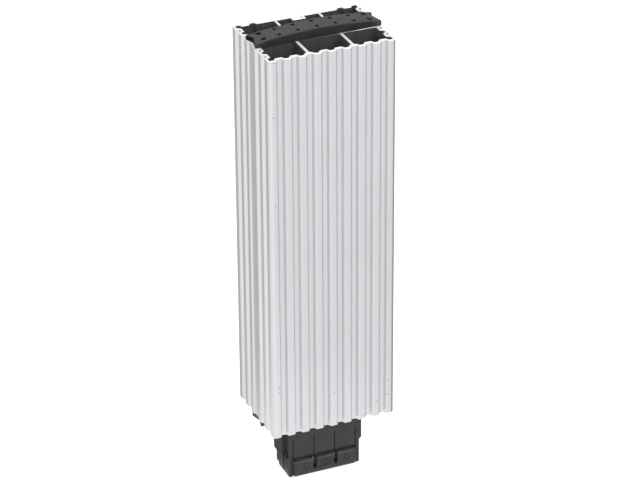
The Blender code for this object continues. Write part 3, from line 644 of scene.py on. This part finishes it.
def chambers():
    """Outlines of the channel and the six air chambers."""
    half_x = PROFILE_WIDTH / 2
    half_y = PROFILE_DEPTH / 2
    near = 1.5 * PITCH - WEB / 2
    far = 1.5 * PITCH + WEB / 2
    deep = half_y - WALL - WAVE_DEPTH
    inside = half_x - WALL
    end_x = inside - WAVE_DEPTH
    plate = -FRONT_PLATE_FACE
    wall = [(x, -half_y + depth) for centre in FRONT_CENTRES for x, depth in FRONT_WAVE.bump(centre)]
    inner, outer = SIDE_GROOVES
    side = [(half_x - depth, y) for y, depth in SIDE_WAVE.bump(-outer) + SIDE_WAVE.bump(-inner)[:2]]
    middle = [point for point in wall if -near < point[0] < near]
    right = [point for point in wall if far < point[0] < inside]
    start = WEB_EXTRA - near
    front_middle = [(start, -deep), *middle, (near, -deep), (near, plate), (start, plate)]
    front_end = [*right, (inside, -INSIDE_Y), *side, (end_x, plate)]
    front_left = [(-x, y) for x, y in reversed([(far, -deep), *front_end, (far, plate)])]
    start = far + WEB_EXTRA
    front_right = [(start, -deep), *front_end, (start, plate)]
    boss_half = SCREW_GROOVE_WIDTH / 2 + WALL
    boss = deep - SCREW_GROOVE_DEPTH
    half = [(near, PLATE_FACE), (near, deep), (boss_half, deep), (boss_half, boss)]
    back_middle = half + [(-x, y) for x, y in reversed(half)]
    back_side = [(x, -y) for x, y in reversed(side)]
    groove = [(x, half_y - depth) for x, depth in reversed(FRONT_WAVE.bump(3.5 * PITCH))]
    recess = [(x, half_y - depth) for x, depth in reversed(FRONT_WAVE.bump(2.5 * PITCH)[2:])]
    back_right = [(far, PLATE_FACE), (end_x, PLATE_FACE), *back_side, (inside, INSIDE_Y)]
    back_right += [*groove, *recess, (far, deep)]
    channel = [(-CHANNEL_HALF_X, -CHANNEL_HALF_Y), (CHANNEL_HALF_X, -CHANNEL_HALF_Y)]
    channel += [(CHANNEL_HALF_X, CHANNEL_HALF_Y), (-CHANNEL_HALF_X, CHANNEL_HALF_Y)]
    back_left = [(-x, y) for x, y in reversed(back_right)]
    loops = [channel, front_middle, back_middle, front_right, front_left, back_right, back_left]
    return [filleted(loop, CONCAVE_FILLET, CONVEX_FILLET) for loop in loops]


def link_mesh(name, bm, looks):
    mesh = bpy.data.meshes.new(name)
    bm.to_mesh(mesh)
    bm.free()
    for look in looks:
        mesh.materials.append(look)
    obj = bpy.data.objects.new(name, mesh)
    bpy.context.scene.collection.objects.link(obj)
    return obj


def ring_of(bm, loop, level):
    return [bm.verts.new((x, y, level)) for x, y in loop]


def stitch(bm, lower, upper, index):
    """Quads between two rings."""
    count = len(lower)
    for k in range(count):
        after = (k + 1) % count
        face = bm.faces.new((lower[k], lower[after], upper[after], upper[k]))
        face.material_index = index
        face.smooth = True


def inset_loop(loop, distance):
    """The loop moved towards the material on its left by a small distance."""
    points = [Vector(point) for point in loop]
    moved = []
    for index, point in enumerate(points):
        arriving = (point - points[index - 1]).normalized()
        leaving = (points[(index + 1) % len(points)] - point).normalized()
        along = (arriving + leaving).normalized()
        across = Vector((-along.y, along.x))
        moved.append(tuple(point + across * distance / max(0.5, along.dot(arriving))))
    return moved


def rim_dot(bm, x, y):
    """A small blind hole in the top rim. Gives the ring of its mouth."""
    steps = 8
    loop = arc((x, y), RIM_DOT, 0, 4 * (steps - 1) / steps, steps - 1)
    floor = ring_of(bm, loop, PROFILE_HIGH - RIM_DOT_DEPTH)
    mouth = ring_of(bm, loop, PROFILE_HIGH)
    stitch(bm, floor, mouth, INSIDE)
    bm.faces.new(floor).material_index = INSIDE
    return mouth


def make_profile(looks):
    """The extrusion with rounded ridges, chamfered saw cuts and chambers in a much darker metal, painted
    shade.
    """
    bm = bmesh.new()
    loops = [(outer_outline(), OUTSIDE)] + [(loop, INSIDE) for loop in chambers()]
    ends = {PROFILE_LOW: [], PROFILE_HIGH: []}
    for loop, index in loops:
        inset = inset_loop(loop, CUT_CHAMFER if index == OUTSIDE else -CUT_CHAMFER)
        rings = [
            ring_of(bm, inset, PROFILE_LOW),
            ring_of(bm, loop, PROFILE_LOW + CUT_CHAMFER),
            ring_of(bm, loop, PROFILE_HIGH - CUT_CHAMFER),
            ring_of(bm, inset, PROFILE_HIGH),
        ]
        for step, (lower, upper) in enumerate(zip(rings, rings[1:])):
            stitch(bm, lower, upper, index if step == 1 else SAWN)
        ends[PROFILE_LOW].append(rings[0])
        ends[PROFILE_HIGH].append(rings[3])
    for x, y in RIM_DOTS:
        ends[PROFILE_HIGH].append(rim_dot(bm, x * MM, y * MM))
    for rings in ends.values():
        edges = []
        for ring in rings:
            for first, second in zip(ring, ring[1:] + ring[:1]):
                edges.append(bm.edges.get((first, second)))
        made = bmesh.ops.triangle_fill(bm, use_beauty=True, use_dissolve=False, edges=edges)
        for item in made["geom"]:
            if isinstance(item, bmesh.types.BMFace):
                item.material_index = SAWN
    bmesh.ops.recalc_face_normals(bm, faces=bm.faces)
    body = link_mesh("profile_body", bm, looks)
    body.data.set_sharp_from_angle(angle=math.radians(32))
    return body


def cap_top():
    """The cap's section from its back edge over the top to its front edge (y, drop)."""
    edge = arc((CAP_HALF_Y - CAP_EDGE, -CAP_EDGE), CAP_EDGE, 0, 1)
    breaks = {CAP_APEX}
    for size in (PIT_SIZE, END_PIT_SIZE):
        for row in (-PIT_ROW, PIT_ROW):
            breaks |= {row - size / 2, row + size / 2}
    flat = [(y, 0) for y in sorted(breaks, reverse=True)]
    return edge + flat + [(-y, drop) for y, drop in reversed(edge)]


def cap_pits():
    """Each pit as its span along the cap, in shares of the half length, and its span across."""
    pits = []
    places = [(share, PIT_SIZE) for share in PIT_SHARES]
    places += [(-END_PIT_SHARE, END_PIT_SIZE), (END_PIT_SHARE, END_PIT_SIZE)]
    for share, size in places:
        half = size / 2 / CAP_HALF_X
        for row in (-PIT_ROW, PIT_ROW):
            pits.append((share - half, share + half, row - size / 2, row + size / 2))
    return pits


def cap_breaks(pits):
    """Shares of the half length at which the cap is divided: even steps, and the pits' edges."""
    shares = {edge for pit in pits for edge in pit[:2]}
    room = 0.3 / CAP_STEPS
    for step in range(CAP_STEPS + 1):
        share = 2 * step / CAP_STEPS - 1
        if all(not low - room < share < high + room for low, high, _, _ in pits):
            shares.add(share)
    return sorted(shares)


def make_cap(look):
    """The arched cap with round long edges, a shallow V in each end, and two rows of pits."""
    radius = (CAP_HALF_X**2 + CAP_FALL**2) / (2 * CAP_FALL)
    section = cap_top()
    pits = cap_pits()
    shares = cap_breaks(pits)
    bm = bmesh.new()
    rings = []
    for share in shares:
        ring = []
        for y, drop in [(CAP_APEX, None), (CAP_HALF_Y, None), *section, (-CAP_HALF_Y, None)]:
            reach = CAP_HALF_Y - CAP_APEX if y > CAP_APEX else CAP_HALF_Y + CAP_APEX
            x = share * (CAP_HALF_X - CAP_NOTCH * (1 - abs(y - CAP_APEX) / reach))
            height = CAP_BASE
            if drop is not None:
                height = CAP_CROWN - radius + math.sqrt(radius**2 - x**2) + drop + CAP_TILT * x
            ring.append(bm.verts.new((x, y, height)))
        rings.append(ring)
    count = len(rings[0])
    sunk = {}
    for i, (first, second) in enumerate(zip(rings, rings[1:])):
        middle = (shares[i] + shares[i + 1]) / 2
        for k in range(count):
            j = (k + 1) % count
            corners = (first[k], first[j], second[j], second[k])
            across = (first[k].co.y + first[j].co.y) / 2
            on_top = first[k].co.z > CAP_BASE and first[j].co.z > CAP_BASE
            inside = any(a < middle < b and c < across < d for a, b, c, d in pits)
            if on_top and inside:
                sunk[(i, k)] = corners
            else:
                bm.faces.new(corners)
    sink_pits(bm, sunk)
    summit = 2 + section.index((CAP_APEX, 0))
    for ring in (rings[0], rings[-1]):
        bm.faces.new(ring[: summit + 1])
        bm.faces.new([*ring[summit:], ring[0]])
    bmesh.ops.recalc_face_normals(bm, faces=bm.faces)
    turn = Matrix.Translation((0, CAP_SHIFT, 0)) @ Matrix.Rotation(CAP_TURN, 4, "Z")
    bmesh.ops.transform(bm, matrix=turn, verts=bm.verts)
    for face in bm.faces:
        face.smooth = True
    cap = link_mesh("arched_cap", bm, [look])
    cap.data.set_sharp_from_angle(angle=math.radians(32))
    return cap


def sink_pits(bm, sunk):
    """Walls and a floor for each cell of the top that is left open."""
    lower = {}

    def below(vert):
        if vert not in lower:
            lower[vert] = bm.verts.new(vert.co - Vector((0, 0, PIT_DEPTH)))
        return lower[vert]

    for (i, k), (a, b, c, d) in sunk.items():
        bm.faces.new([below(vert) for vert in (a, b, c, d)])
        sides = (((i - 1, k), a, b), ((i, k + 1), b, c), ((i + 1, k), c, d), ((i, k - 1), d, a))
        for neighbour, start, end in sides:
            if neighbour not in sunk:
                bm.faces.new((start, end, below(end), below(start)))


def make_seam(name, side, look):
    """A near-black strip down a side of the housing where its halves meet: painted shadow for the narrow
    gap between them.
    """
    out = side * (HOUSING_SIDE + SEAM_PROUD)
    shoulder = side * HOUSING_SIDE
    root = side * (HOUSING_SIDE - SEAM_PROUD)
    loop = [
        (root, HOUSING_JOINT - SEAM_HALF),
        (shoulder, HOUSING_JOINT - SEAM_HALF),
        (out, HOUSING_JOINT - SEAM_HALF / 2),
        (out, HOUSING_JOINT + SEAM_HALF / 2),
        (shoulder, HOUSING_JOINT + SEAM_HALF),
        (root, HOUSING_JOINT + SEAM_HALF),
    ]
    bm = bmesh.new()
    lower = ring_of(bm, loop, SEAM_LOW)
    upper = ring_of(bm, loop, SEAM_HIGH)
    stitch(bm, lower, upper, 0)
    bm.faces.new(lower)
    bm.faces.new(upper)
    bmesh.ops.recalc_face_normals(bm, faces=bm.faces)
    seam = link_mesh(name, bm, [look])
    seam.data.set_sharp_from_angle(angle=math.radians(20))
    return seam


def stroke(bm, path, closed):
    """A flat stroke on the pads' face along a path of (x, z) points."""
    rings = []
    count = len(path)
    points = [Vector(point) for point in path]
    for index, point in enumerate(points):
        before = points[index - 1] if closed or index else point
        after = points[(index + 1) % count] if closed or index < count - 1 else point
        along = (after - before).normalized()
        across = Vector((-along.y, along.x)) * MARK_STROKE / 2
        ring = []
        for side, depth in ((-1, MARK_PROUD), (-1, -MARK_PROUD), (1, -MARK_PROUD), (1, MARK_PROUD)):
            place = point + across * side
            ring.append(bm.verts.new((place.x, PAD_FACE + depth, place.y)))
        rings.append(ring)
    pairs = list(zip(rings, rings[1:]))
    if closed:
        pairs.append((rings[-1], rings[0]))
    else:
        bm.faces.new(rings[0])
        bm.faces.new(rings[-1])
    for first, second in pairs:
        for k in range(4):
            j = (k + 1) % 4
            bm.faces.new((first[k], first[j], second[j], second[k]))


def make_marks(look):
    """Plain marks on the three pads: a ring, a frame with a bar, and a smaller ring."""
    bm = bmesh.new()
    for x, z, radius in MARK_RINGS:
        turn = 4 * (RING_STEPS - 1) / RING_STEPS
        stroke(bm, arc((x * MM, z * MM), radius * MM, 0, turn, RING_STEPS - 1), True)
    reach_x = MARK_FRAME_HALF_X - MARK_FRAME_CORNER
    reach_z = MARK_FRAME_HALF_Z - MARK_FRAME_CORNER
    frame_path = []
    for quarter, (side_x, side_z) in enumerate(((1, 1), (-1, 1), (-1, -1), (1, -1))):
        centre = (MARK_FRAME_X + side_x * reach_x, MARK_FRAME_Z + side_z * reach_z)
        frame_path += arc(centre, MARK_FRAME_CORNER, quarter, 1, 3)
    stroke(bm, frame_path, True)
    half = MARK_FRAME_HALF_Z - MARK_STROKE / 2 - MARK_BAR_ROOM
    stroke(bm, [(MARK_FRAME_X, MARK_FRAME_Z - half), (MARK_FRAME_X, MARK_FRAME_Z + half)], False)
    bmesh.ops.recalc_face_normals(bm, faces=bm.faces)
    return link_mesh("pad_marks", bm, [look])


def make_camera():
    level = math.cos(ELEVATION)
    back = Vector((math.sin(AZIMUTH) * level, -math.cos(AZIMUTH) * level, math.sin(ELEVATION)))
    flat = Vector((math.cos(AZIMUTH), math.sin(AZIMUTH), 0))
    rise = back.cross(flat)
    right = flat * math.cos(ROLL) + rise * math.sin(ROLL)
    up = rise * math.cos(ROLL) - flat * math.sin(ROLL)
    place = right * AIM_RIGHT + up * AIM_UP + back * CAMERA_DISTANCE
    place.z += PROFILE_LOW
    camera = bpy.data.objects.new("camera", bpy.data.cameras.new("camera"))
    camera.data.sensor_width = SENSOR_MM
    camera.data.lens = FOCAL_PIXELS * SENSOR_MM / IMAGE_WIDTH
    camera.data.clip_start = 0.01
    turn = Matrix((right, up, back)).transposed()
    camera.matrix_world = Matrix.Translation(place) @ turn.to_4x4()
    bpy.context.scene.collection.objects.link(camera)
    bpy.context.scene.camera = camera


def softbox(name, place, size, power):
    """A square lamp that faces the heater."""
    light = bpy.data.lights.new(name, "AREA")
    light.shape = "SQUARE"
    light.size = size
    light.energy = power
    obj = bpy.data.objects.new(name, light)
    obj.location = place
    obj.rotation_euler = (Vector(place) - Vector(LIT_POINT)).to_track_quat("Z", "Y").to_euler()
    bpy.context.scene.collection.objects.link(obj)


def make_sky():
    """A white room that is lighter overhead than at the horizon."""
    world = bpy.data.worlds.new("studio")
    world.use_nodes = True
    tree = world.node_tree
    background = tree.nodes["Background"]
    place = tree.nodes.new("ShaderNodeTexCoord")
    split = tree.nodes.new("ShaderNodeSeparateXYZ")
    rise = tree.nodes.new("ShaderNodeMapRange")
    rise.inputs["From Min"].default_value = 0
    rise.inputs["From Max"].default_value = 1
    rise.inputs["To Min"].default_value = SKY_LOW
    rise.inputs["To Max"].default_value = SKY_HIGH
    tree.links.new(place.outputs["Generated"], split.inputs[0])
    tree.links.new(split.outputs["Z"], rise.inputs["Value"])
    tree.links.new(rise.outputs["Result"], background.inputs["Strength"])
    background.inputs["Color"].default_value = (1, 1, 1, 1)
    bpy.context.scene.world = world


def make_studio():
    make_sky()
    for lamp in LIGHTS:
        softbox(*lamp)
    bm = bmesh.new()
    bmesh.ops.create_grid(bm, x_segments=1, y_segments=1, size=FLOOR_SIZE)
    made, shader, add, link = new_material("pale_floor")
    cloud = noise(add, 3, 2)
    link(mix_colours(add, cloud, (0.48, 0.48, 0.48), (0.50, 0.50, 0.50)), shader.inputs["Base Color"])
    shader.inputs["Roughness"].default_value = 0.9
    shader.inputs["Specular IOR Level"].default_value = 0
    shader.inputs["Emission Color"].default_value = (1, 1, 1, 1)
    shader.inputs["Emission Strength"].default_value = FLOOR_GLOW
    floor = link_mesh("floor", bm, [made])
    floor.location.z = -FLOOR_GAP
    for card in CARDS:
        make_card(*card)
    view = bpy.context.scene.view_settings
    view.view_transform = "Standard"
    view.look = "None"


def make_card(name, first, last, near, far, strength):
    """A card on the floor that only reflections show, between two bearings from the heater."""
    bm = bmesh.new()
    inner, outer = [], []
    for step in range(CARD_STEPS + 1):
        angle = math.radians(first + (last - first) * step / CARD_STEPS)
        way = Vector((math.sin(angle), -math.cos(angle), 0))
        inner.append(bm.verts.new(way * near + Vector((0, 0, CARD_LIFT))))
        outer.append(bm.verts.new(way * far + Vector((0, 0, CARD_LIFT))))
    for k in range(CARD_STEPS):
        bm.faces.new((inner[k], inner[k + 1], outer[k + 1], outer[k]))
    made, shader, _, _ = new_material(name)
    shader.inputs["Base Color"].default_value = (0, 0, 0, 1)
    shader.inputs["Specular IOR Level"].default_value = 0
    shader.inputs["Emission Color"].default_value = (1, 1, 1, 1)
    shader.inputs["Emission Strength"].default_value = strength
    card = link_mesh(name, bm, [made])
    card.visible_camera = False
    card.visible_diffuse = False
    card.visible_shadow = False


def finishes():
    """Each CAD node's finish, by the start of its name."""
    cap_dark, cap_light = (0.0240, 0.0232, 0.0265), (0.0390, 0.0378, 0.0425)
    cap_plastic = moulded_plastic("cap_black", cap_dark, cap_light, 0.50, 2600)
    dark, light = (0.0262, 0.0262, 0.0278), (0.0376, 0.0376, 0.0397)
    housing_plastic = moulded_plastic("housing_black", dark, light, 0.48, 3200, 0.36)
    zinc = metal("zinc_steel", (0.50, 0.50, 0.48), (0.68, 0.68, 0.66), 0.34, (1, 1, 1))
    spring = metal("spring_steel_sheet", (0.40, 0.40, 0.39), (0.56, 0.56, 0.55), 0.32, (0.05, 1, 1))
    sheet = metal("sheet_bare", (0.72, 0.72, 0.73), (0.84, 0.84, 0.85), 0.36, (1, 1, 0.05))
    ceramic = plain("fired_ceramic", (0.24, 0.23, 0.22), (0.36, 0.35, 0.33), 0.65, 900)
    film = plain("amber_film", (0.36, 0.16, 0.03), (0.48, 0.23, 0.05), 0.30, 300)
    cream = plain("frame_moulding", (0.54, 0.51, 0.44), (0.66, 0.63, 0.56), 0.55, 700)
    return {
        "top_cap": cap_plastic,
        "bottom_cap": cap_plastic,
        "rear_housing": housing_plastic,
        "front_housing": housing_plastic,
        "rail_clip": spring,
        "clip_screw": zinc,
        "clamp_cage": zinc,
        "clamp_spring": spring,
        "earth_strip": zinc,
        "heating_stone": ceramic,
        "stone_frame": cream,
        "back_film": film,
        "front_film": film,
        "back_electrode": sheet,
        "front_electrode": sheet,
        "front_wedge": sheet,
        "back_wedge": sheet,
    }


def paint_rear(pocket_light_look):
    """Painted light on the rear half of the housing: the face where it meets the front half, inside the
    latch pockets, gets the same lighter plastic.
    """
    rear = NODES["rear_housing"].data
    rear.materials.append(pocket_light_look)
    for face in rear.polygons:
        if face.normal.y < -0.9 and abs(face.center.y - HOUSING_JOINT) < JOINT_REACH:
            face.material_index = 1


def main():
    make_camera()
    make_studio()
    looks = finishes()
    for name in NODES:
        for start, look in looks.items():
            if name.startswith(start):
                dress(name, look)
    # painted highlight for the pads' lips, and below it painted light: lighter copies of the plastic for
    # the grooves, slots, deep faces behind the pads and latch pockets
    lip_highlight_look = moulded_plastic("lip_painted_highlight", (0.085, 0.083, 0.088), (0.120, 0.117, 0.125), 0.40, 3200)
    recess = moulded_plastic(
        "recess", (0.098, 0.098, 0.103), (0.122, 0.122, 0.129), 0.60, 3200, 0.36
    )
    pocket_light_look = moulded_plastic(
        "latch_pocket_painted_light", (0.056, 0.056, 0.060), (0.072, 0.072, 0.076), 0.60, 3200, 0.3
    )
    bed_light_look = moulded_plastic("pad_bed_painted_light", (0.200, 0.200, 0.208), (0.240, 0.240, 0.250), 0.60, 3200, 0.36)
    # painted shadow: near-black plastic for the strips in the narrow gap between the housing's halves
    joint_shadow_look = moulded_plastic("joint_painted_shadow", (0.005, 0.005, 0.006), (0.009, 0.009, 0.010), 0.7, 3200, 0.05)
    # painted shade: a darker plastic for the engraved strokes of the pads' marks
    mark_shade_look = moulded_plastic("mark_painted_shade", (0.014, 0.014, 0.015), (0.020, 0.020, 0.022), 0.6, 3200, 0.25)
    shell = make_shell([looks["front_housing"], lip_highlight_look, recess, pocket_light_look, bed_light_look])
    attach(shell, "root")
    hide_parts("front_housing")
    paint_rear(pocket_light_look)
    profile = make_profile([aluminium_outside(), aluminium_inside_painted_shade(), aluminium_cut()])
    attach(profile, "root")
    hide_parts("profile")
    cap = make_cap(cap_plastic_painted_shade())
    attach(cap, "root")
    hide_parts("top_cap")
    details = [make_seam("left_seam_shadow", -1, joint_shadow_look), make_seam("right_seam_shadow", 1, joint_shadow_look), make_marks(mark_shade_look)]
    for piece in details:
        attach(piece, "root")


main()
